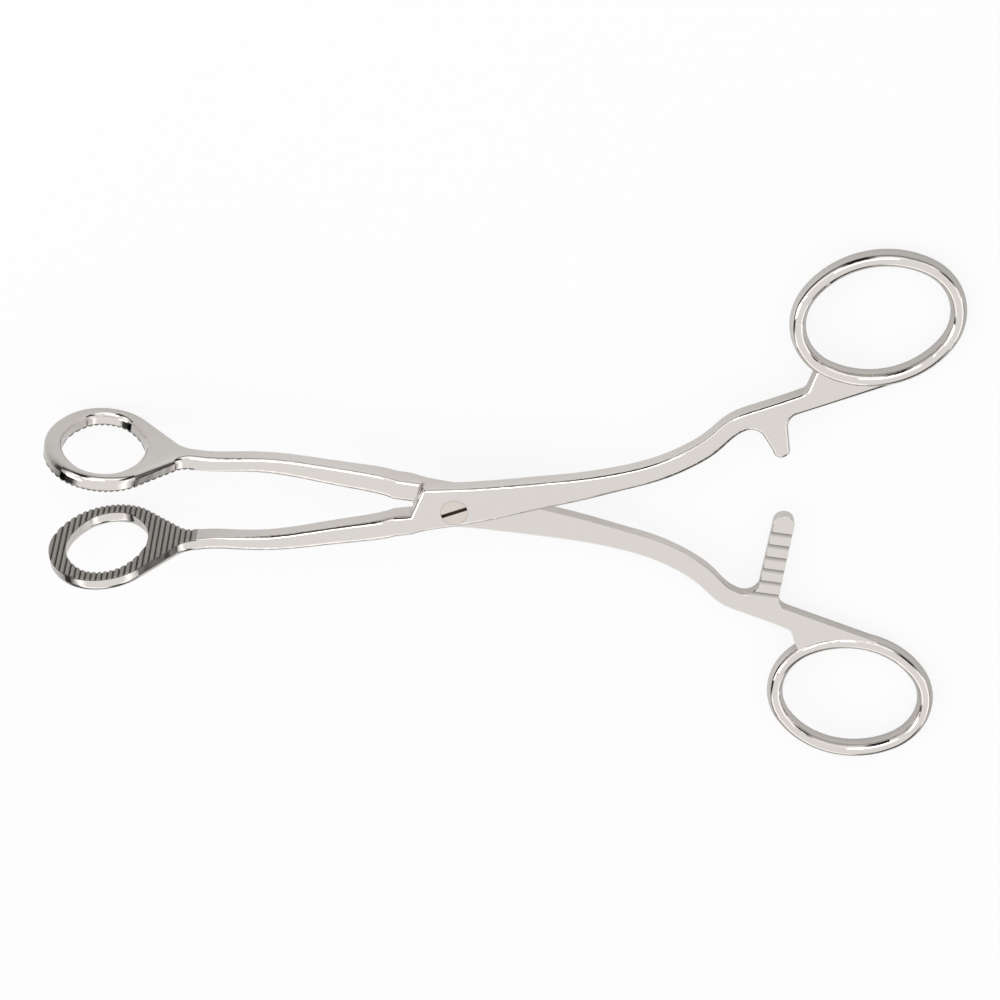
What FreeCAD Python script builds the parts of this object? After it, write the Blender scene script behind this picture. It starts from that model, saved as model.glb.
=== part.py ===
import FreeCAD, Part
import math
import os

# Seizing forceps: two forged halves crossing at a screw lap joint.
# Lengths are in millimetres and angles in degrees.
#
# Both halves come from one forging shape, drawn closed: the pivot is at the origin, the jaw lies along
# +X on the +Y side, the handle runs along -X on the -Y side, and the lap plane is z = 0. The front half
# is that shape, and the rear half is the same shape turned over about X. Only the ratchet arms differ.

# An oval's end radius as a share of the matching ellipse's
oval_fullness = 1.06

# Opening of the instrument, each half measured from the closed position
rest_half_angle = 7.8
open_half_angle = 15.0

# Lap plates at the joint
plate_thickness = 3.0
lap_gap = 0.04
plate_corner_x = 5.1
plate_corner_y = -5.1
plate_corner_radius = 0.9
plate_end_x = 8.1
plate_end_y = 0.4
stop_gap = 0.04
closed_gap = 0.06
recess_radius = 7.9

# Jaw shank, from the joint to the neck of the jaw
# The shank is given by stations along X: its inner and outer side in Y, and the height of its top.
root_start = 5.6
root_start_width = 3.3
root_rounding = 0.8
root_flare = 0.5
root_half_height = 1.9
root_depth = 1.5
ramp_start = 8.4
shank_stations = (
    (11.0, 0.12, 4.17, 2.75),
    (19.0, 1.05, 4.90, 2.15),
    (27.5, 1.62, 5.10, 1.90),
    (36.0, 1.65, 4.70, 1.87),
)
shank_rounding = 1.0
neck_half_height = 1.85

# Jaw: an upright oval ring with a flat serrated face
jaw_reach = 73.8
jaw_toe_in = 1.5
jaw_tip_gap = 0.03
jaw_thickness = 2.7
window_half_length = 7.45
window_half_height = 10.9
tip_rim = 3.1
side_rim = 2.5
neck_slope = 49.0
neck_fillet = 4.0
neck_land = 1.0
back_rounding = 1.2
window_rounding = 1.1
neck_edge = 0.25
neck_overlap = 1.5
serration_pitch = 1.0
serration_depth = 0.3
serration_start = 0.8
serration_margin = 1.2

# Handle: the centre line is given by stations behind and below the pivot, with the width across it
handle_length = 78.0
ring_drop = 29.2
handle_edge = 0.8
lap_edge = 0.2
handle_stations = (
    (0.0, 0.75, 7.8),
    (8.0, 0.92, 6.65),
    (15.5, 1.38, 5.5),
    (23.0, 1.82, 4.55),
    (30.0, 2.60, 3.85),
    (37.0, 3.80, 3.7),
    (42.5, 5.67, 3.65),
    (47.2, 8.22, 3.55),
    (51.2, 11.22, 3.45),
    (56.0, 12.70, 3.45),
    (60.5, 13.75, 3.5),
    (65.0, 14.90, 3.7),
)

# Finger ring
ring_half_length = 12.6
ring_half_width = 10.1
ring_band = 2.9
ring_height = 3.9
ring_tilt = 7.1
web_inset = 0.5
web_top_angle = 93.0
web_run = 5.5
web_turn = 45.0
web_fillet = 1.5

# Ratchet arms
arm_x = -59.1
arm_root_fillet = 2.6
pawl_tip_y = -4.1
pawl_width = 3.1
pawl_root_width = 6.6
pawl_teeth = 1
bar_tip_y = 6.8
bar_width = 3.8
bar_root_width = 4.0
bar_thickness = 2.1
bar_thin_start = -9.0
bar_teeth = 6
tooth_pitch = 2.55
tooth_depth = 0.75
tooth_land = 0.35
tooth_lead = 3.52
arm_gap = 0.06

# Joint screw
screw_head_radius = 2.4
screw_head_height = 1.1
screw_shank_radius = 1.6
screw_clearance = 0.04
head_seat_gap = 0.03
slot_width = 0.7
slot_depth = 0.8
slot_angle = 21.0
thread_gap = 0.01

Z_AXIS = FreeCAD.Vector(0, 0, 1)
X_AXIS = FreeCAD.Vector(1, 0, 0)
ORIGIN = FreeCAD.Vector(0, 0, 0)


def point(x, y, z=0.0):
    return FreeCAD.Vector(x, y, z)


def line(start, end):
    return Part.LineSegment(start, end).toShape()


def arc(start, middle, end):
    return Part.Arc(start, middle, end).toShape()


def spline(points):
    curve = Part.BSplineCurve()
    curve.interpolate(points)
    return curve.toShape()


def face_of(edges):
    return Part.Face(Part.Wire(Part.__sortEdges__(edges)))


def flat_face(edges):
    """A face in the XY plane that looks up."""
    face = face_of(edges)
    if face.normalAt(0, 0).z < 0:
        face.reverse()
    return face


def merged(faces):
    """One face from several that overlap or share an edge."""
    whole = faces[0]
    for face in faces[1:]:
        whole = whole.fuse(face).removeSplitter().Faces[0]
    return whole


def polygon_face(points):
    return Part.Face(Part.makePolygon(points + [points[0]]))


class Oval:
    """A four-arc oval: two tight arcs at the ends of its long axis and two wide ones along its sides.

    Angles are measured from the long axis towards the short one, in degrees.
    """

    def __init__(self, centre, long_axis, short_axis, half_long, half_short):
        self.centre = centre
        self.long_axis = long_axis
        self.short_axis = short_axis
        self.end_radius = half_short ** 2 / half_long * oval_fullness
        self.end_offset = half_long - self.end_radius
        spread = self.end_offset ** 2 + half_short ** 2 - self.end_radius ** 2
        self.side_radius = spread / (2.0 * (half_short - self.end_radius))
        self.side_offset = self.side_radius - half_short
        self.join_angle = math.degrees(math.atan2(self.side_offset, self.end_offset))

    def direction(self, angle):
        turn = math.radians(angle)
        return self.long_axis * math.cos(turn) + self.short_axis * math.sin(turn)

    def arc_centre(self, angle):
        """Centre and radius of the arc whose normal points along the angle."""
        angle = (angle + 180.0) % 360.0 - 180.0
        if abs(angle) <= self.join_angle:
            return self.centre + self.long_axis * self.end_offset, self.end_radius
        if abs(angle) >= 180.0 - self.join_angle:
            return self.centre - self.long_axis * self.end_offset, self.end_radius
        side = -1.0 if angle > 0 else 1.0
        return self.centre + self.short_axis * (side * self.side_offset), self.side_radius

    def at(self, angle):
        centre, radius = self.arc_centre(angle)
        return centre + self.direction(angle) * radius

    def arcs(self, start=None, end=None):
        """Edges from one normal angle to another, or the whole oval."""
        if start is None:
            start = -self.join_angle
            end = start + 360.0
        joins = []
        for turn in (-360.0, 0.0, 360.0):
            for base in (-self.join_angle, self.join_angle, 180.0 - self.join_angle, 180.0 + self.join_angle):
                joins.append(turn + base)
        stops = [start] + sorted(join for join in joins if start + 1e-6 < join < end - 1e-6) + [end]
        edges = []
        for low, high in zip(stops[:-1], stops[1:]):
            centre, radius = self.arc_centre((low + high) / 2.0)
            ends = [centre + self.direction(angle) * radius for angle in (low, (low + high) / 2.0, high)]
            edges.append(arc(*ends))
        return edges

    def stretches(self):
        """Start angle, end angle and arc centre of the four arcs."""
        join = self.join_angle
        stops = (-join, join, 180.0 - join, 180.0 + join, 360.0 - join)
        found = []
        for low, high in zip(stops[:-1], stops[1:]):
            found.append((low, high, self.arc_centre((low + high) / 2.0)[0]))
        return found


# Jaw

def jaw_plane():
    """Placement of the jaw's own frame: x runs to the tip, y from the face to the back."""
    turn = FreeCAD.Rotation(Z_AXIS, -jaw_toe_in)
    return FreeCAD.Placement(point(jaw_reach, jaw_tip_gap), turn)


def jaw_oval(half_length, half_height):
    """An oval of the jaw in its own frame, taller than it is long; angle 0 looks up, 90 to the tip."""
    centre = point(-(window_half_length + tip_rim), 0, 0)
    return Oval(centre, Z_AXIS, X_AXIS, half_height, half_length)


def neck_geometry():
    """Points of the jaw's outline behind the oval, in the jaw's own frame, on the upper side."""
    oval = jaw_oval(window_half_length + tip_rim, window_half_height + side_rim)
    leave_angle = min(neck_slope, oval.join_angle)
    slope = math.radians(leave_angle)
    leave = oval.at(-leave_angle)
    cross_x = leave.x - (leave.z - neck_half_height) / math.tan(slope)
    tangent = neck_fillet * math.tan(slope / 2.0)
    fillet_x = cross_x - tangent
    fillet_middle = point(
        fillet_x + neck_fillet * math.sin(slope / 2.0),
        0,
        neck_half_height + neck_fillet * (1.0 - math.cos(slope / 2.0)),
    )
    return {
        "oval": oval,
        "leave_angle": leave_angle,
        "leave": leave,
        "fillet_start": point(
            cross_x + tangent * math.cos(slope),
            0,
            neck_half_height + tangent * math.sin(slope),
        ),
        "fillet_middle": fillet_middle,
        "fillet_end": point(fillet_x, 0, neck_half_height),
        "neck_end": point(fillet_x - neck_land, 0, neck_half_height),
    }


def below(upper):
    return point(upper.x, upper.y, -upper.z)


def edges_on(solid, y, neck_x):
    """Edges lying on the plane y, without the one across the neck."""
    found = []
    for edge in solid.Edges:
        box = edge.BoundBox
        on_plane = abs(box.YMin - y) < 1e-4 and abs(box.YMax - y) < 1e-4
        at_neck = box.XMax < neck_x + 1e-3
        if on_plane and not at_neck:
            found.append(edge)
    return found


def in_window(edge):
    """True for an edge whose middle lies on the window's oval."""
    middle = edge.valueAt((edge.FirstParameter + edge.LastParameter) / 2.0)
    centre_x = -(window_half_length + tip_rim)
    share = ((middle.x - centre_x) / window_half_length) ** 2 + (middle.z / window_half_height) ** 2
    return share < 1.1


def jaw_ring(neck):
    """The oval ring with its neck, in the jaw's own frame."""
    outline = neck["oval"].arcs(-neck["leave_angle"], 180.0 + neck["leave_angle"]) + [
        line(neck["leave"], neck["fillet_start"]),
        arc(neck["fillet_start"], neck["fillet_middle"], neck["fillet_end"]),
        line(neck["fillet_end"], neck["neck_end"]),
        line(neck["neck_end"], below(neck["neck_end"])),
        line(below(neck["neck_end"]), below(neck["fillet_end"])),
        arc(below(neck["fillet_end"]), below(neck["fillet_middle"]), below(neck["fillet_start"])),
        line(below(neck["fillet_start"]), below(neck["leave"])),
    ]
    through = point(0, jaw_thickness, 0)
    neck_x = neck["neck_end"].x
    blank = face_of(outline).extrude(through)
    blank = blank.makeFillet(back_rounding, edges_on(blank, jaw_thickness, neck_x))

    window = face_of(jaw_oval(window_half_length, window_half_height).arcs()).extrude(through)
    ring = blank.cut(window)
    rim = [edge for edge in edges_on(ring, jaw_thickness, neck_x) if in_window(edge)]
    return ring.makeFillet(window_rounding, rim)


def serrations(neck):
    """V grooves across the grasping face, from the tip to the neck."""
    grooves = []
    reach = -neck["neck_end"].x - serration_margin
    half_height = window_half_height + side_rim + serration_depth
    groove_x = serration_start
    while groove_x < reach:
        bottom = point(-groove_x, serration_depth, -half_height)
        corners = [
            bottom,
            bottom + point(2.0 * serration_depth, -2.0 * serration_depth, 0),
            bottom + point(-2.0 * serration_depth, -2.0 * serration_depth, 0),
        ]
        grooves.append(polygon_face(corners).extrude(point(0, 0, 2.0 * half_height)))
        groove_x += serration_pitch
    return Part.makeCompound(grooves)


# Jaw shank

def section(x, y_low, y_high, z_low, z_high, low_rounding, high_rounding):
    """A rounded rectangle across X, with its own corner radius on each side in Y."""
    cut = 1.0 - math.sqrt(0.5)
    wire = [
        line(point(x, y_low + low_rounding, z_low), point(x, y_high - high_rounding, z_low)),
        arc(
            point(x, y_high - high_rounding, z_low),
            point(x, y_high - cut * high_rounding, z_low + cut * high_rounding),
            point(x, y_high, z_low + high_rounding),
        ),
        line(point(x, y_high, z_low + high_rounding), point(x, y_high, z_high - high_rounding)),
        arc(
            point(x, y_high, z_high - high_rounding),
            point(x, y_high - cut * high_rounding, z_high - cut * high_rounding),
            point(x, y_high - high_rounding, z_high),
        ),
        line(point(x, y_high - high_rounding, z_high), point(x, y_low + low_rounding, z_high)),
        arc(
            point(x, y_low + low_rounding, z_high),
            point(x, y_low + cut * low_rounding, z_high - cut * low_rounding),
            point(x, y_low, z_high - low_rounding),
        ),
        line(point(x, y_low, z_high - low_rounding), point(x, y_low, z_low + low_rounding)),
        arc(
            point(x, y_low, z_low + low_rounding),
            point(x, y_low + cut * low_rounding, z_low + cut * low_rounding),
            point(x, y_low + low_rounding, z_low),
        ),
    ]
    return Part.Wire(wire)


def jaw_shank(neck):
    """The bar from the joint to the jaw's neck, and the ramp up to the plate."""
    placement = jaw_plane()
    neck_x = neck["neck_end"].x
    neck_start = placement.multVec(point(neck_x, 0.0)).x
    run_start, inner_y, outer_y, top_z = shank_stations[0]
    run = neck_start - run_start

    bar_wires = []
    for x, y_low, y_high, z_high in shank_stations:
        share = (x - run_start) / run
        depth = root_half_height + (neck_half_height - root_half_height) * share
        bar_wires.append(section(x, y_low, y_high, -depth, z_high, shank_rounding, shank_rounding))

    neck_wires = []
    for offset in (neck_overlap, 0.0):
        wire = section(
            neck_x - offset,
            0.0,
            jaw_thickness,
            -neck_half_height,
            neck_half_height,
            neck_edge,
            back_rounding,
        )
        wire.Placement = placement.multiply(wire.Placement)
        neck_wires.append(wire)

    bar = Part.makeLoft(bar_wires + neck_wires, True, False)
    root_wires = []
    rounding = root_rounding
    for x, width in ((root_start, root_start_width), (ramp_start, root_start_width + root_flare)):
        outer = inner_y + width
        root_wires.append(section(x, inner_y, outer, -root_depth, plate_thickness, rounding, rounding))
    root = Part.makeLoft(root_wires, True, True)
    ramp = Part.makeLoft([root_wires[1], bar_wires[0]], True, True)

    # The lower half of the bar runs on under the lap plane, up to the recess.
    length = run_start - root_start
    stub_wire = section(
        root_start,
        inner_y,
        outer_y,
        -root_half_height,
        top_z,
        shank_rounding,
        shank_rounding,
    )
    stub = Part.Face(stub_wire).extrude(point(length, 0, 0))
    lap_side = point(root_start, 0, -lap_gap / 2.0)
    upper_half = Part.makeBox(length, 2.0 * outer_y, plate_thickness, lap_side)
    return [root, ramp, bar, stub.cut(upper_half)]


# Plate and handle

def handle_curves():
    """Upper and lower edges of the handle, offset from the centre line by half the width."""
    centres = [point(-back, -drop) for back, drop, width in handle_stations]
    middle = Part.BSplineCurve()
    middle.interpolate(centres)
    upper = []
    lower = []
    for centre, station in zip(centres, handle_stations):
        along = middle.tangent(middle.parameter(centre))[0]
        across = point(along.y, -along.x)
        if across.y < 0:
            across = across * -1.0
        upper.append(centre + across * (station[2] / 2.0))
        lower.append(centre - across * (station[2] / 2.0))
    return upper, lower


def arm_face(tip_y, width, root_width):
    """A ratchet arm: a bar along Y with a round tip, rooted in the handle and wider there towards the jaw."""
    root_y = -handle_stations[-2][1]
    half = width / 2.0
    shoulder = tip_y - half
    root = point(arm_x - half + root_width, root_y)
    return flat_face([
        line(point(arm_x - half, root_y), point(arm_x - half, shoulder)),
        arc(point(arm_x - half, shoulder), point(arm_x, tip_y), point(arm_x + half, shoulder)),
        line(point(arm_x + half, shoulder), root),
        line(root, point(arm_x - half, root_y)),
    ])


def upright_edges(solid):
    return [edge for edge in solid.Edges if edge.BoundBox.ZLength > plate_thickness / 2.0]


def inside_hoop(place):
    """True inside the finger ring's outer oval."""
    hoop = ring_oval(ring_band)
    offset = point(place.x, place.y) - hoop.centre
    along = offset.dot(hoop.long_axis) / (ring_half_length + ring_band)
    across = offset.dot(hoop.short_axis) / (ring_half_width + ring_band)
    return along ** 2 + across ** 2 < 1.0


def rim_edges(blank, height):
    """Edges round the face at a height, without those that end up inside the ring or the shank."""
    found = []
    for edge in blank.Edges:
        if edge.BoundBox.ZLength > 1e-6 or abs(edge.BoundBox.ZMax - height) > 1e-3:
            continue
        ends = [edge.valueAt(edge.FirstParameter), edge.valueAt(edge.LastParameter)]
        buried = inside_hoop(ends[0]) and inside_hoop(ends[1])
        in_shank = min(ends[0].x, ends[1].x) > plate_corner_x + plate_corner_radius
        if not buried and not in_shank:
            found.append(edge)
    return found


def ring_oval(offset, z=0.0):
    """The finger ring's hole, widened all round by the offset."""
    tilt = math.radians(ring_tilt)
    along = point(math.cos(tilt), math.sin(tilt))
    across = point(-along.y, along.x)
    centre = point(-handle_length, -ring_drop, z)
    return Oval(centre, along, across, ring_half_length + offset, ring_half_width + offset)


def handle_blank(tip_y, width, root_width):
    """Plate, handle, ratchet arm and the web into the finger ring, as one flat forging."""
    upper, lower = handle_curves()
    hoop = ring_oval(ring_band - web_inset / 2.0)
    upper_edge = spline(upper)
    lower_edge = spline(lower)
    upper_start = upper[0] - upper_edge.tangentAt(upper_edge.FirstParameter) * (plate_end_x - upper[0].x)
    lower_start = lower[0] - lower_edge.tangentAt(lower_edge.FirstParameter) * (plate_corner_x - lower[0].x)
    turned = FreeCAD.Rotation(Z_AXIS, web_turn)
    lower_end = lower[-1] + turned.multVec(lower_edge.tangentAt(lower_edge.LastParameter)) * web_run

    ribbon = flat_face([
        upper_edge,
        line(upper[-1], lower[-1]),
        lower_edge,
        line(lower[0], upper[0]),
    ])
    plate = flat_face([
        line(upper[0], lower[0]),
        line(lower[0], lower_start),
        line(lower_start, point(plate_end_x, plate_end_y)),
        line(point(plate_end_x, plate_end_y), upper_start),
        line(upper_start, upper[0]),
    ])
    web = flat_face([
        line(upper[-1], hoop.at(web_top_angle)),
        line(hoop.at(web_top_angle), hoop.centre),
        line(hoop.centre, lower_end),
        line(lower_end, lower[-1]),
        line(lower[-1], upper[-1]),
    ])
    web = web.cut(face_of(ring_oval(web_inset).arcs()))
    outline = merged([ribbon, arm_face(tip_y, width, root_width), plate, web.Faces[0]])
    outline.translate(point(0, 0, lap_gap / 2.0))
    blank = outline.extrude(point(0, 0, plate_thickness - lap_gap / 2.0))
    roots = []
    for edge in upright_edges(blank):
        across = edge.valueAt(0).x - arm_x + width / 2.0
        if -0.01 < across < root_width and edge.valueAt(0).y < tip_y - width:
            roots.append(edge)
    blank = blank.makeFillet(arm_root_fillet, roots)
    turns = [edge for edge in upright_edges(blank) if edge.distToShape(Part.Vertex(lower[-1]))[0] < lap_gap]
    blank = blank.makeFillet(web_fillet, turns)
    corner = [edge for edge in upright_edges(blank) if edge.valueAt(0).x > 0 > edge.valueAt(0).y + 1.0]
    blank = blank.makeFillet(plate_corner_radius, corner)
    for height, radius in ((plate_thickness, handle_edge), (lap_gap / 2.0, lap_edge)):
        blank = blank.makeFillet(radius, rim_edges(blank, height))
    return blank


def finger_ring():
    """An oval hoop of oval section, centred on the thickness of the handle."""
    hoop = None
    path = ring_oval(ring_band / 2.0, plate_thickness / 2.0)
    for low, high, arc_centre in path.stretches():
        start = path.at(low + 1e-9)
        profile = Oval(start, Z_AXIS, path.direction(low), ring_height / 2.0, ring_band / 2.0)
        piece = face_of(profile.arcs()).revolve(arc_centre, Z_AXIS, high - low)
        hoop = piece if hoop is None else hoop.fuse(piece)
    return hoop.removeSplitter()


# Lap joint

def plate_corner_centre():
    """Centre of the rounding at the plate's free corner."""
    corner = point(plate_corner_x, plate_corner_y)
    along_end = (point(plate_end_x, plate_end_y) - corner).normalize()
    along_edge = (handle_curves()[1][0] - corner).normalize()
    half_angle = along_end.getAngle(along_edge) / 2.0
    inward = (along_end + along_edge).normalize()
    return corner + inward * (plate_corner_radius / math.sin(half_angle))


def shoulder_x():
    """Place of the shoulder that stops the other plate's corner when the halves are fully open."""
    centre = plate_corner_centre()
    turn = math.radians(2.0 * open_half_angle)
    reach = centre.x * math.cos(turn) - centre.y * math.sin(turn)
    return reach + plate_corner_radius + stop_gap


def lap_recess():
    """The space under the plate that the other half's plate swings in."""
    wall_x = shoulder_x()
    depth = 2.0 * plate_thickness
    across = 2.0 * recess_radius
    behind_wall = Part.makeBox(across, across, depth, point(wall_x - across, -recess_radius))
    swing = Part.makeCylinder(recess_radius, depth).common(behind_wall)

    corner = point(plate_corner_x, -plate_corner_y)
    along = (point(plate_end_x, -plate_end_y) - corner).normalize()
    outward = point(-along.y, along.x)
    start = corner + outward * closed_gap
    wall_share = (wall_x - start.x) / along.x
    foot = start + along * across
    closed_side = polygon_face([
        ORIGIN,
        point(0, (start + along * wall_share).y),
        start + along * wall_share,
        foot,
        point(0, foot.y),
    ]).extrude(point(0, 0, depth))
    recess = swing.fuse(closed_side)
    recess.translate(point(0, 0, lap_gap / 2.0 - depth))
    return recess


def ratchet_teeth(tip_y, count):
    """Saw teeth on the lap side of an arm; their steep sides look to the root of the arm."""
    reach = bar_width
    length = 4.0 * reach
    lap_side = point(arm_x - reach, tip_y - length, arm_gap - plate_thickness)
    cuts = [Part.makeBox(2.0 * reach, length, plate_thickness, lap_side)]
    for number in range(count):
        steep_y = tip_y - tooth_lead - number * tooth_pitch
        cuts.append(polygon_face([
            point(arm_x - reach, steep_y, 0),
            point(arm_x - reach, steep_y, tooth_depth),
            point(arm_x - reach, steep_y - tooth_pitch + tooth_land, 0),
        ]).extrude(point(2.0 * reach, 0, 0)))
    return cuts


def forged_half(tip_y, width, root_width, thickness, teeth):
    """One half, closed: jaw, shank, plate, handle, ratchet arm and finger ring in a single solid."""
    neck = neck_geometry()
    jaw = jaw_ring(neck).cut(serrations(neck))
    jaw.Placement = jaw_plane().multiply(jaw.Placement)
    blank = handle_blank(tip_y, width, root_width)
    for cut in ratchet_teeth(tip_y, teeth):
        blank = blank.cut(cut)
    if thickness < plate_thickness:
        outer_side = point(arm_x - width, bar_thin_start, thickness)
        blank = blank.cut(Part.makeBox(2.0 * width, tip_y - bar_thin_start, plate_thickness, outer_side))
    shank = jaw_shank(neck)
    root = shank[0].fuse(shank[1:]).cut(lap_recess())
    return blank.fuse([root, jaw, finger_ring()])


# Joint screw

def screw_bore(radius):
    return Part.makeCylinder(radius, 4.0 * plate_thickness, point(0, 0, -2.0 * plate_thickness))


def pivot_screw():
    """Slotted screw: flush head in the front plate, shank through the rear one."""
    seat_z = plate_thickness - screw_head_height
    head = Part.makeCylinder(screw_head_radius, screw_head_height, point(0, 0, seat_z))
    shank = Part.makeCylinder(screw_shank_radius, seat_z + plate_thickness, point(0, 0, -plate_thickness))
    slot = Part.makeBox(
        4.0 * screw_head_radius,
        slot_width,
        slot_depth,
        point(-2.0 * screw_head_radius, -slot_width / 2.0, plate_thickness - slot_depth),
    )
    slot.rotate(ORIGIN, Z_AXIS, slot_angle)
    return head.fuse(shank).removeSplitter().cut(slot)


def front_half():
    half = forged_half(pawl_tip_y, pawl_width, pawl_root_width, plate_thickness, pawl_teeth)
    seat_z = plate_thickness - screw_head_height - head_seat_gap
    seat = Part.makeCylinder(screw_head_radius + screw_clearance, plate_thickness, point(0, 0, seat_z))
    half = half.cut(screw_bore(screw_shank_radius + screw_clearance)).cut(seat)
    half.rotate(ORIGIN, Z_AXIS, rest_half_angle)
    return half


def rear_half():
    half = forged_half(bar_tip_y, bar_width, bar_root_width, bar_thickness, bar_teeth)
    half = half.cut(screw_bore(screw_shank_radius + thread_gap))
    half.rotate(ORIGIN, X_AXIS, 180.0)
    half.rotate(ORIGIN, Z_AXIS, -rest_half_angle)
    return half


def main():
    os.makedirs("parts", exist_ok=True)
    pieces = {
        "front_half": front_half(),
        "rear_half": rear_half(),
        "pivot_screw": pivot_screw(),
    }
    for name, piece in pieces.items():
        # The finished part stands with z = 0 at the underside of the joint.
        piece.translate(point(0, 0, plate_thickness))
        piece.exportStep("parts/" + name + ".step")
        print(name, piece.isValid(), round(piece.Volume, 1))


if __name__ == "__main__":
    main()
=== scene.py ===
import math

import bpy
from bpy.props import FloatProperty, FloatVectorProperty, IntProperty, PointerProperty, StringProperty
from mathutils import Matrix, Vector

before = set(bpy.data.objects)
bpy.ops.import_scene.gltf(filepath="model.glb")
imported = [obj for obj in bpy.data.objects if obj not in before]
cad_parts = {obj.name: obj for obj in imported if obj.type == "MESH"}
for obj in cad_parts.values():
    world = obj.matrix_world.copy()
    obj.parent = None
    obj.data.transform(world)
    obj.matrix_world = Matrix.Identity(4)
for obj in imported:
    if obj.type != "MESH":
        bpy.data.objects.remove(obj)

bl_info = {
    "name": "Seizing forceps",
    "version": (1, 0, 0),
    "blender": (4, 5, 0),
    "location": "View3D > Sidebar > Forceps",
    "description": "Finishes and studio for polished steel seizing forceps",
    "category": "Object",
}

MM = 0.001
WHITE = (1.0, 1.0, 1.0, 1.0)

# The jaws' serrated faces: each is a plane through the jaw tip, and the rear one is the front one's
# mirror image across the instrument's middle.
JAW_TIP = (73.11 * MM, 10.05 * MM)
JAW_SLOPE = math.radians(6.3)
SERRATION_START = 46.3 * MM
SERRATION_DEPTH = 0.3 * MM

# Depths behind the serrated face: where the ground look ends, and between which the painted shade in a groove
# deepens
GROUND_END = (SERRATION_DEPTH, SERRATION_DEPTH + 0.08 * MM)
GROOVE_SHADE = (0.06 * MM, 0.8 * SERRATION_DEPTH)

# The satin handle and shank give way to the buffed jaw between these distances from the joint
JAW_BLEND = (38.0 * MM, 46.0 * MM)

# Heights between which the painted shade in the bar's tooth roots thins out, and where the ratchet lies
RATCHET_SHADE_HEIGHT = (2.32 * MM, 2.63 * MM)
RATCHET_X = (-62.5 * MM, -51.0 * MM)
RATCHET_Y = (-2.0 * MM, 21.5 * MM)

# How level a face is, from 0 for a wall to 1 for a flat: satin flats, and the teeth's sloped sides
SATIN_LEVEL = (0.93, 0.995)
TOOTH_LEVEL = (0.8, 0.985)

# Belt lines and the soft clouds between them: length in spacings, size, and what each adds to the roughness
LINE_LENGTH = 30.0
LINE_ROUGHNESS = 0.08
CLOUD_SIZE = 9.0 * MM
CLOUD_ROUGHNESS = 0.05

# Relief of the belt lines, of the buffing waves and of the lathe's rings
LINE_RELIEF = 0.004 * MM
LINE_STRENGTH = 0.22
WAVE_RELIEF = 0.05 * MM
RING_RELIEF = 0.005 * MM
RING_STRENGTH = 0.3

# Roughness that the rings and the sawn slot add to the screw's head
RING_ROUGHNESS = 0.08
SLOT_ROUGHNESS = 0.35

# The wave texture's rings lie this far apart at a scale of 1
WAVE_PERIOD = math.tau / 20.0

# From just under the slot's floor to just under the top of the screw's head
SLOT_HEIGHT = (5.18 * MM, 5.97 * MM)

# The light tent from its dark foot up, as heights on a sphere and their colours
TENT_FOOT = (0.05, 0.05, 0.052, 1.0)
TENT_FADE = ((0.02, TENT_FOOT), (0.14, (0.45, 0.45, 0.455, 1.0)), (0.4, WHITE))

# Soft edge of a post as a share of a sine wave, what a post lets through, and where the roof starts
POST_EDGE = (0.3, 0.85)
POST_LIGHT = 0.05
ROOF_START = (0.45, 0.62)

# Half the paper's width, and how far from the joint the mirrored paper starts and ends fading
PAPER_HALF = 0.6
PAPER_FADE = (0.03, 0.25)

# Share of plain white in the paper, for the camera and for the metal
CAMERA_WHITE = 0.85
MIRROR_WHITE = 0.2

# Name, place, size and power of each softbox; all of them look at the joint
SOFTBOXES = (
    ("key_softbox", (0.15, -0.75, 0.85), (0.9, 0.45), 2.2),
    ("side_softbox", (0.8, 0.1, 0.5), (0.4, 0.6), 1.3),
)

# The camera's axes, fitted to the photograph
CAMERA_RIGHT = Vector((-0.99984, -0.01463, -0.01032))
CAMERA_UP = Vector((0.01782, -0.87098, -0.49100))


def linear(hex_colour):
    """An sRGB hex colour as linear RGBA."""
    parts = [int(hex_colour[i:i + 2], 16) / 255.0 for i in (0, 2, 4)]
    return [c / 12.92 if c <= 0.04045 else ((c + 0.055) / 1.055) ** 2.4 for c in parts] + [1.0]


def add_node(tree, kind, settings=None, inputs=None):
    """A node with its settings, and its inputs as values or as links.

    A link comes from another node's socket, or from another node, which stands for its first output.
    """
    node = tree.nodes.new(kind)
    for name, value in (settings or {}).items():
        setattr(node, name, value)
    for key, value in (inputs or {}).items():
        if isinstance(value, bpy.types.Node):
            value = value.outputs[0]
        if isinstance(value, bpy.types.NodeSocket):
            tree.links.new(value, node.inputs[key])
        else:
            node.inputs[key].default_value = value
    return node


def new_material(name):
    material = bpy.data.materials.new(name)
    material.use_nodes = True
    material.node_tree.nodes.clear()
    return material


def give(node_name, material):
    """Puts a material in every slot of a CAD node."""
    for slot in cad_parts[node_name].material_slots:
        slot.material = material


def between(tree, value, limits):
    """One between two limits and zero outside them."""
    above = add_node(tree, "ShaderNodeMath", {"operation": "GREATER_THAN"}, {0: value, 1: limits[0]})
    below = add_node(tree, "ShaderNodeMath", {"operation": "LESS_THAN"}, {0: value, 1: limits[1]})
    return add_node(tree, "ShaderNodeMath", {"operation": "MULTIPLY"}, {0: above, 1: below})


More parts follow.
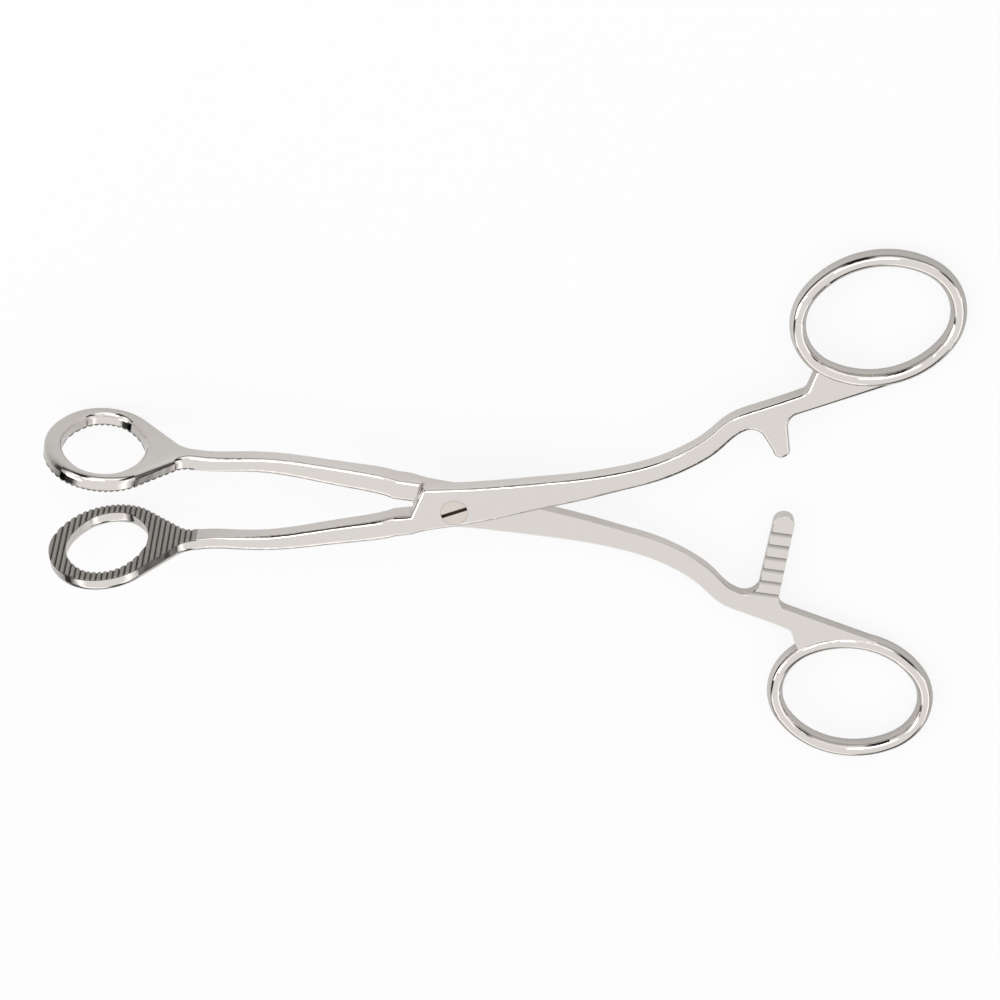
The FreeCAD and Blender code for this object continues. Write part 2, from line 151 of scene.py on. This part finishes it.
def behind_serrations(tree, axes):
    """Distance of a point behind the serrated face of its jaw."""
    from_tip = add_node(tree, "ShaderNodeMath", {"operation": "SUBTRACT"}, {0: axes[0], 1: JAW_TIP[0]})
    aside = add_node(tree, "ShaderNodeMath", {"operation": "ABSOLUTE"}, {0: axes[1]})
    from_face = add_node(tree, "ShaderNodeMath", {"operation": "SUBTRACT"}, {0: aside, 1: JAW_TIP[1]})
    along = add_node(tree, "ShaderNodeMath", {"operation": "MULTIPLY"}, {
        0: from_tip,
        1: -math.sin(JAW_SLOPE),
    })
    across = add_node(tree, "ShaderNodeMath", {"operation": "MULTIPLY"}, {
        0: from_face,
        1: math.cos(JAW_SLOPE),
    })
    return add_node(tree, "ShaderNodeMath", {"operation": "ADD"}, {0: along, 1: across})


class ForcepsSteel(bpy.types.PropertyGroup):
    """Colours and finishes of the two forged halves."""

    polished: StringProperty(
        name="Polished steel",
        description="sRGB colour of the polished halves",
        default="D9D4CF",
    )
    tooth_crest: StringProperty(
        name="Serration crests",
        description="sRGB colour of the crests of the serrated jaw faces",
        default="A8A49F",
    )
    # Painted shade: this colour darkens the grooves of the serrated jaw faces and the ratchet's tooth roots.
    painted_root_shade: StringProperty(
        name="Serration roots",
        description="sRGB colour of the grooves of the serrated jaw faces and of the ratchet's tooth roots",
        default="6C6863",
    )
    flat_roughness: FloatProperty(
        name="Flat roughness",
        description="Roughness of the satin flats of the plates and handles",
        default=0.24,
        min=0.0,
        max=1.0,
    )
    bright_roughness: FloatProperty(
        name="Bright roughness",
        description="Roughness of the buffed edges, finger rings and jaws",
        default=0.07,
        min=0.0,
        max=1.0,
    )
    ground_roughness: FloatProperty(
        name="Ground roughness",
        description="Roughness of the serrated jaw faces",
        default=0.36,
        min=0.0,
        max=1.0,
    )
    line_spacing: FloatProperty(
        name="Polishing line spacing",
        description="Distance between the fine lines that the grinding belt leaves",
        default=0.25 * MM,
        unit="LENGTH",
    )
    wave_length: FloatProperty(
        name="Buffing waves",
        description="Distance between the soft waves that hand buffing leaves on the bright parts",
        default=3.5 * MM,
        unit="LENGTH",
    )


class ForcepsScrew(bpy.types.PropertyGroup):
    """Colour and finish of the joint screw."""

    turned: StringProperty(
        name="Turned steel",
        description="sRGB colour of the screw's head",
        default="D8CFC6",
    )
    slot: StringProperty(
        name="Slot",
        description="sRGB colour of the sawn slot, which keeps its oxide",
        default="75665A",
    )
    roughness: FloatProperty(
        name="Roughness",
        description="Roughness of the screw's ground head",
        default=0.3,
        min=0.0,
        max=1.0,
    )
    ring_spacing: FloatProperty(
        name="Turning line spacing",
        description="Distance between the rings that the lathe leaves on the head",
        default=0.754 * MM,
        unit="LENGTH",
    )


class ForcepsStage(bpy.types.PropertyGroup):
    """Floor, camera and light."""

    floor_point: FloatVectorProperty(
        name="Floor height",
        description="A point of the floor, under the joint",
        default=(0.0, 0.0, -5.9 * MM),
        unit="LENGTH",
    )
    floor_slope: FloatVectorProperty(
        name="Floor slope",
        description="Rise of the floor along X and Y: the part lies on its rings and one jaw",
        default=(-0.0786, -0.0370),
        size=2,
    )
    camera_place: FloatVectorProperty(
        name="Camera",
        description="Place of the camera",
        default=(-9.39 * MM, -337.16 * MM, 599.1 * MM),
        unit="LENGTH",
    )
    camera_lens: FloatProperty(
        name="Lens",
        description="Focal length on a 36 mm sensor",
        default=137.6,
        unit="CAMERA",
    )
    paper: StringProperty(
        name="Floor",
        description="sRGB colour of the paper on the floor",
        default="E6E6E6",
    )
    posts: IntProperty(
        name="Tent posts",
        description="Number of dark posts round the light tent",
        default=4,
        min=0,
    )
    walls: FloatProperty(
        name="Walls",
        description="Brightness of the tent's walls beside its roof",
        default=1.6,
        min=0.0,
    )
    sky: FloatProperty(
        name="Sky",
        description="Brightness of the white tent overhead",
        default=1.0,
        min=0.0,
    )


def polished_stainless_steel(steel):
    """Forged stainless steel: flats ground on a belt, edges, rings and jaws buffed, serrations left as cut.

    The eye sees satin flats with faint lines along the handles, edges and rings like a mirror with the
    soft waves of hand buffing, and grey serrations whose grooves carry painted shade, darker than their
    crests; the ratchet's tooth roots carry painted shade too.
    """
    material = new_material("Stainless steel, forged and polished")
    tree = material.node_tree
    coordinates = add_node(tree, "ShaderNodeTexCoord")
    position = coordinates.outputs["Object"]
    axes = add_node(tree, "ShaderNodeSeparateXYZ", inputs={0: position}).outputs
    facing = add_node(tree, "ShaderNodeSeparateXYZ", inputs={0: coordinates.outputs["Normal"]}).outputs
    level = add_node(tree, "ShaderNodeMath", {"operation": "ABSOLUTE"}, {0: facing[2]})

    # Flats are satin; edges, rings and jaws are buffed.
    handle = add_node(tree, "ShaderNodeMapRange", inputs={
        "Value": axes[0],
        "From Min": JAW_BLEND[0],
        "From Max": JAW_BLEND[1],
        "To Min": 1.0,
        "To Max": 0.0,
    })
    satin_face = add_node(tree, "ShaderNodeMapRange", inputs={
        "Value": level,
        "From Min": SATIN_LEVEL[0],
        "From Max": SATIN_LEVEL[1],
    })
    flat = add_node(tree, "ShaderNodeMath", {"operation": "MULTIPLY"}, {0: satin_face, 1: handle})

    # Serrated faces: ground, with painted shade that darkens each groove with its depth.
    depth = behind_serrations(tree, axes)
    on_face = add_node(tree, "ShaderNodeMapRange", inputs={
        "Value": depth,
        "From Min": GROUND_END[0],
        "From Max": GROUND_END[1],
        "To Min": 1.0,
        "To Max": 0.0,
    })
    on_jaw = add_node(tree, "ShaderNodeMath", {"operation": "GREATER_THAN"}, {0: axes[0], 1: SERRATION_START})
    ground = add_node(tree, "ShaderNodeMath", {"operation": "MULTIPLY"}, {0: on_face, 1: on_jaw})
    deep = add_node(tree, "ShaderNodeMapRange", inputs={
        "Value": depth,
        "From Min": GROOVE_SHADE[0],
        "From Max": GROOVE_SHADE[1],
    })
    groove = add_node(tree, "ShaderNodeMath", {"operation": "MULTIPLY"}, {0: deep, 1: ground})

    # Ratchet: painted shade darkens the roots of the teeth.
    ratchet_root_shade = add_node(tree, "ShaderNodeMapRange", inputs={
        "Value": axes[2],
        "From Min": RATCHET_SHADE_HEIGHT[0],
        "From Max": RATCHET_SHADE_HEIGHT[1],
        "To Min": 1.0,
        "To Max": 0.0,
    })
    for value, limits in ((axes[0], RATCHET_X), (axes[1], RATCHET_Y), (level, TOOTH_LEVEL)):
        inside = between(tree, value, limits)
        ratchet_root_shade = add_node(tree, "ShaderNodeMath", {"operation": "MULTIPLY"}, {0: ratchet_root_shade, 1: inside})
    # Painted shade in the jaw grooves and the ratchet's tooth roots.
    painted_shade = add_node(tree, "ShaderNodeMath", {"operation": "MAXIMUM"}, {0: groove, 1: ratchet_root_shade})

    # Belt lines run along the instrument. Real ones are too fine to show here, so these are coarser.
    across = 1.0 / steel.line_spacing
    stretched = add_node(tree, "ShaderNodeMapping", inputs={
        "Vector": position,
        "Scale": (across / LINE_LENGTH, across, across),
    })
    lines = add_node(tree, "ShaderNodeTexNoise", inputs={
        "Vector": stretched,
        "Scale": 1.0,
        "Detail": 3.0,
        "Roughness": 0.6,
    })
    clouds = add_node(tree, "ShaderNodeTexNoise", inputs={
        "Vector": position,
        "Scale": 1.0 / CLOUD_SIZE,
        "Detail": 2.0,
    })
    waves = add_node(tree, "ShaderNodeTexNoise", inputs={
        "Vector": position,
        "Scale": 1.0 / steel.wave_length,
        "Detail": 1.0,
        "Roughness": 0.4,
    })

    # The lines vary the satin's roughness about its own value, and the clouds add to it.
    lined = add_node(tree, "ShaderNodeMath", {"operation": "MULTIPLY_ADD"}, {
        0: lines,
        1: LINE_ROUGHNESS,
        2: steel.flat_roughness - LINE_ROUGHNESS / 2.0,
    })
    clouded = add_node(tree, "ShaderNodeMath", {"operation": "MULTIPLY"}, {0: clouds, 1: CLOUD_ROUGHNESS})
    satin = add_node(tree, "ShaderNodeMath", {"operation": "ADD"}, {0: lined, 1: clouded})
    finish = add_node(tree, "ShaderNodeMix", inputs={0: flat, 2: steel.bright_roughness, 3: satin})
    rough = add_node(tree, "ShaderNodeMix", inputs={0: ground, 2: finish, 3: steel.ground_roughness})
    faces = add_node(tree, "ShaderNodeMix", {"data_type": "RGBA"}, {
        0: ground,
        6: linear(steel.polished),
        7: linear(steel.tooth_crest),
    })
    colour = add_node(tree, "ShaderNodeMix", {"data_type": "RGBA"}, {
        0: painted_shade,
        6: faces.outputs[2],
        7: linear(steel.painted_root_shade),
    })

    bright = add_node(tree, "ShaderNodeMath", {"operation": "SUBTRACT"}, {0: 1.0, 1: flat})
    buffed = add_node(tree, "ShaderNodeBump", inputs={
        "Strength": bright,
        "Distance": WAVE_RELIEF,
        "Height": waves,
    })
    line_strength = add_node(tree, "ShaderNodeMath", {"operation": "MULTIPLY"}, {0: flat, 1: LINE_STRENGTH})
    brushed = add_node(tree, "ShaderNodeBump", inputs={
        "Strength": line_strength,
        "Distance": LINE_RELIEF,
        "Height": lines,
        "Normal": buffed,
    })
    shader = add_node(tree, "ShaderNodeBsdfPrincipled", inputs={
        "Base Color": colour.outputs[2],
        "Metallic": 1.0,
        "Roughness": rough,
        "Normal": brushed,
    })
    add_node(tree, "ShaderNodeOutputMaterial", inputs={"Surface": shader})
    return material


def turned_stainless_steel(screw):
    """Stainless bar turned on a lathe and ground flush.

    The eye sees faint rings round a head that is a little warmer than the halves, and a dark slot: the
    saw's oxide stays in it, because neither the wheel nor the belt reaches there. A lathe's real rings
    are too fine to show here, so these are drawn wider apart.
    """
    material = new_material("Stainless steel, turned and ground")
    tree = material.node_tree
    position = add_node(tree, "ShaderNodeTexCoord").outputs["Object"]
    height = add_node(tree, "ShaderNodeSeparateXYZ", inputs={0: position}).outputs[2]
    rings = add_node(tree, "ShaderNodeTexWave", {"wave_type": "RINGS", "rings_direction": "Z"}, {
        "Vector": position,
        "Scale": WAVE_PERIOD / screw.ring_spacing,
        "Distortion": 0.6,
        "Detail": 2.0,
    }).outputs[1]
    in_slot = between(tree, height, SLOT_HEIGHT)
    ringed = add_node(tree, "ShaderNodeMath", {"operation": "MULTIPLY_ADD"}, {
        0: rings,
        1: RING_ROUGHNESS,
        2: screw.roughness,
    })
    sawn = add_node(tree, "ShaderNodeMath", {"operation": "MULTIPLY"}, {0: in_slot, 1: SLOT_ROUGHNESS})
    rough = add_node(tree, "ShaderNodeMath", {"operation": "ADD"}, {0: ringed, 1: sawn})
    colour = add_node(tree, "ShaderNodeMix", {"data_type": "RGBA"}, {
        0: in_slot,
        6: linear(screw.turned),
        7: linear(screw.slot),
    })
    bump = add_node(tree, "ShaderNodeBump", inputs={
        "Strength": RING_STRENGTH,
        "Distance": RING_RELIEF,
        "Height": rings,
    })
    shader = add_node(tree, "ShaderNodeBsdfPrincipled", inputs={
        "Base Color": colour.outputs[2],
        "Metallic": 1.0,
        "Roughness": rough,
        "Normal": bump,
    })
    add_node(tree, "ShaderNodeOutputMaterial", inputs={"Surface": shader})
    return material


class FORCEPS_OT_halves(bpy.types.Operator):
    """Give both forged halves their polished steel"""

    bl_idname = "forceps.halves"
    bl_label = "Finish the halves"

    def execute(self, context):
        material = polished_stainless_steel(context.scene.forceps_steel)
        for node_name in ("front_half", "rear_half"):
            give(node_name, material)
        return {"FINISHED"}


class FORCEPS_OT_screw(bpy.types.Operator):
    """Give the joint screw its turned steel"""

    bl_idname = "forceps.screw"
    bl_label = "Finish the screw"

    def execute(self, context):
        give("pivot_screw", turned_stainless_steel(context.scene.forceps_screw))
        return {"FINISHED"}


def floor_frame(stage):
    """Placement of the floor: its origin under the joint and its Z along its normal."""
    slope_x, slope_y = stage.floor_slope
    up = Vector((-slope_x, -slope_y, 1.0)).normalized()
    along = Vector((1.0, 0.0, slope_x)).normalized()
    aside = up.cross(along)
    turn = Matrix((along, aside, up)).transposed().to_4x4()
    return Matrix.Translation(Vector(stage.floor_point)) @ turn


def white_floor_material(stage):
    """Matt white paper. The camera and the metal see it near white, with the part's faint shadow."""
    material = new_material("Matt white paper")
    tree = material.node_tree
    path = add_node(tree, "ShaderNodeLightPath").outputs
    to_camera = add_node(tree, "ShaderNodeMath", {"operation": "MULTIPLY"}, {
        0: path["Is Camera Ray"],
        1: CAMERA_WHITE,
    })
    mirrored = add_node(tree, "ShaderNodeMath", {"operation": "MULTIPLY"}, {
        0: path["Is Glossy Ray"],
        1: MIRROR_WHITE,
    })
    share = add_node(tree, "ShaderNodeMath", {"operation": "MAXIMUM"}, {0: to_camera, 1: mirrored})
    paper = add_node(tree, "ShaderNodeBsdfDiffuse", inputs={"Color": linear(stage.paper)})
    glow = add_node(tree, "ShaderNodeEmission", inputs={"Color": WHITE, "Strength": 1.0})
    lit = add_node(tree, "ShaderNodeMixShader", inputs={0: share, 1: paper, 2: glow})

    # The metal mirrors the far paper darker, so that it meets the dark foot of the tent without a line.
    place = add_node(tree, "ShaderNodeTexCoord").outputs["Object"]
    distance = add_node(tree, "ShaderNodeVectorMath", {"operation": "LENGTH"}, {0: place}).outputs["Value"]
    far = add_node(tree, "ShaderNodeMapRange", inputs={
        "Value": distance,
        "From Min": PAPER_FADE[0],
        "From Max": PAPER_FADE[1],
    })
    shaded = add_node(tree, "ShaderNodeMath", {"operation": "MULTIPLY"}, {0: far, 1: path["Is Glossy Ray"]})
    shadow = add_node(tree, "ShaderNodeEmission", inputs={"Color": TENT_FOOT, "Strength": 1.0})
    faded = add_node(tree, "ShaderNodeMixShader", inputs={0: shaded, 1: lit, 2: shadow})
    add_node(tree, "ShaderNodeOutputMaterial", inputs={"Surface": faded})
    return material


def studio_world(stage):
    """A white light tent on dark posts: bright overhead, dark round the horizon, white to the camera."""
    world = bpy.data.worlds.new("Light tent")
    world.use_nodes = True
    tree = world.node_tree
    tree.nodes.clear()
    direction = add_node(tree, "ShaderNodeTexCoord").outputs["Generated"]
    axes = add_node(tree, "ShaderNodeSeparateXYZ", inputs={0: direction}).outputs
    ramp = add_node(tree, "ShaderNodeValToRGB", inputs={0: axes[2]})
    stops = ramp.color_ramp.elements
    stops.remove(stops[1])
    stops[0].position, stops[0].color = TENT_FADE[0]
    for height, colour in TENT_FADE[1:]:
        stops.new(height).color = colour

    # The tent's walls are lit from outside, brighter than its roof, and posts stand between them.
    turn = add_node(tree, "ShaderNodeMath", {"operation": "ARCTAN2"}, {0: axes[1], 1: axes[0]})
    round_tent = add_node(tree, "ShaderNodeMath", {"operation": "MULTIPLY"}, {0: turn, 1: stage.posts})
    post = add_node(tree, "ShaderNodeMath", {"operation": "SINE"}, {0: round_tent})
    wall = add_node(tree, "ShaderNodeMapRange", inputs={
        "Value": post,
        "From Min": POST_EDGE[0],
        "From Max": POST_EDGE[1],
        "To Min": stage.walls,
        "To Max": POST_LIGHT,
    })
    roof = add_node(tree, "ShaderNodeMapRange", inputs={
        "Value": axes[2],
        "From Min": ROOF_START[0],
        "From Max": ROOF_START[1],
    })
    shade = add_node(tree, "ShaderNodeMix", inputs={0: roof, 2: wall, 3: 1.0})
    strength = add_node(tree, "ShaderNodeMath", {"operation": "MULTIPLY"}, {0: shade, 1: stage.sky})
    tent = add_node(tree, "ShaderNodeBackground", inputs={"Color": ramp, "Strength": strength})
    white = add_node(tree, "ShaderNodeBackground", inputs={"Color": WHITE, "Strength": 1.0})
    camera_ray = add_node(tree, "ShaderNodeLightPath").outputs["Is Camera Ray"]
    seen = add_node(tree, "ShaderNodeMixShader", inputs={0: camera_ray, 1: tent, 2: white})
    add_node(tree, "ShaderNodeOutputWorld", inputs={"Surface": seen})
    return world


def add_softbox(scene, name, place, size, power):
    light = bpy.data.lights.new(name, "AREA")
    light.shape = "RECTANGLE"
    light.size, light.size_y = size
    light.energy = power
    lamp = bpy.data.objects.new(name, light)
    lamp.location = place
    lamp.rotation_mode = "QUATERNION"
    lamp.rotation_quaternion = (-Vector(place)).to_track_quat("-Z", "Y")
    scene.collection.objects.link(lamp)


def add_floor(scene, stage):
    corners = [
        (-PAPER_HALF, -PAPER_HALF, 0.0),
        (PAPER_HALF, -PAPER_HALF, 0.0),
        (PAPER_HALF, PAPER_HALF, 0.0),
        (-PAPER_HALF, PAPER_HALF, 0.0),
    ]
    mesh = bpy.data.meshes.new("floor")
    mesh.from_pydata(corners, [], [(0, 1, 2, 3)])
    mesh.materials.append(white_floor_material(stage))
    floor = bpy.data.objects.new("floor", mesh)
    floor.matrix_world = floor_frame(stage)
    scene.collection.objects.link(floor)


def add_camera(scene, stage):
    camera = bpy.data.cameras.new("camera")
    camera.lens = stage.camera_lens
    camera.sensor_width = 36.0
    camera.clip_start = 0.01
    camera.clip_end = 10.0
    view = bpy.data.objects.new("camera", camera)
    turn = Matrix((CAMERA_RIGHT, CAMERA_UP, CAMERA_RIGHT.cross(CAMERA_UP))).transposed().to_4x4()
    view.matrix_world = Matrix.Translation(Vector(stage.camera_place)) @ turn
    scene.collection.objects.link(view)
    scene.camera = view


class FORCEPS_OT_stage(bpy.types.Operator):
    """Lay the floor, set the lights and place the camera"""

    bl_idname = "forceps.stage"
    bl_label = "Set the stage"

    def execute(self, context):
        scene = context.scene
        stage = scene.forceps_stage
        add_floor(scene, stage)
        scene.world = studio_world(stage)
        for name, place, size, power in SOFTBOXES:
            add_softbox(scene, name, place, size, power)
        add_camera(scene, stage)
        scene.view_settings.view_transform = "Standard"
        return {"FINISHED"}


class FORCEPS_PT_panel(bpy.types.Panel):
    """Everything that this add-on makes"""

    bl_idname = "FORCEPS_PT_panel"
    bl_label = "Seizing forceps"
    bl_space_type = "VIEW_3D"
    bl_region_type = "UI"
    bl_category = "Forceps"

    def draw(self, context):
        layout = self.layout
        for group, operator in (
            (context.scene.forceps_steel, FORCEPS_OT_halves),
            (context.scene.forceps_screw, FORCEPS_OT_screw),
            (context.scene.forceps_stage, FORCEPS_OT_stage),
        ):
            box = layout.box()
            for name in group.__annotations__:
                box.prop(group, name)
            box.operator(operator.bl_idname)


CLASSES = (
    ForcepsSteel,
    ForcepsScrew,
    ForcepsStage,
    FORCEPS_OT_halves,
    FORCEPS_OT_screw,
    FORCEPS_OT_stage,
    FORCEPS_PT_panel,
)


def register():
    for cls in CLASSES:
        bpy.utils.register_class(cls)
    bpy.types.Scene.forceps_steel = PointerProperty(type=ForcepsSteel)
    bpy.types.Scene.forceps_screw = PointerProperty(type=ForcepsScrew)
    bpy.types.Scene.forceps_stage = PointerProperty(type=ForcepsStage)


def unregister():
    del bpy.types.Scene.forceps_stage
    del bpy.types.Scene.forceps_screw
    del bpy.types.Scene.forceps_steel
    for cls in reversed(CLASSES):
        bpy.utils.unregister_class(cls)


def main():
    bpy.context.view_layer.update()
    register()
    bpy.ops.forceps.halves()
    bpy.ops.forceps.screw()
    bpy.ops.forceps.stage()


if __name__ == "__main__":
    main()
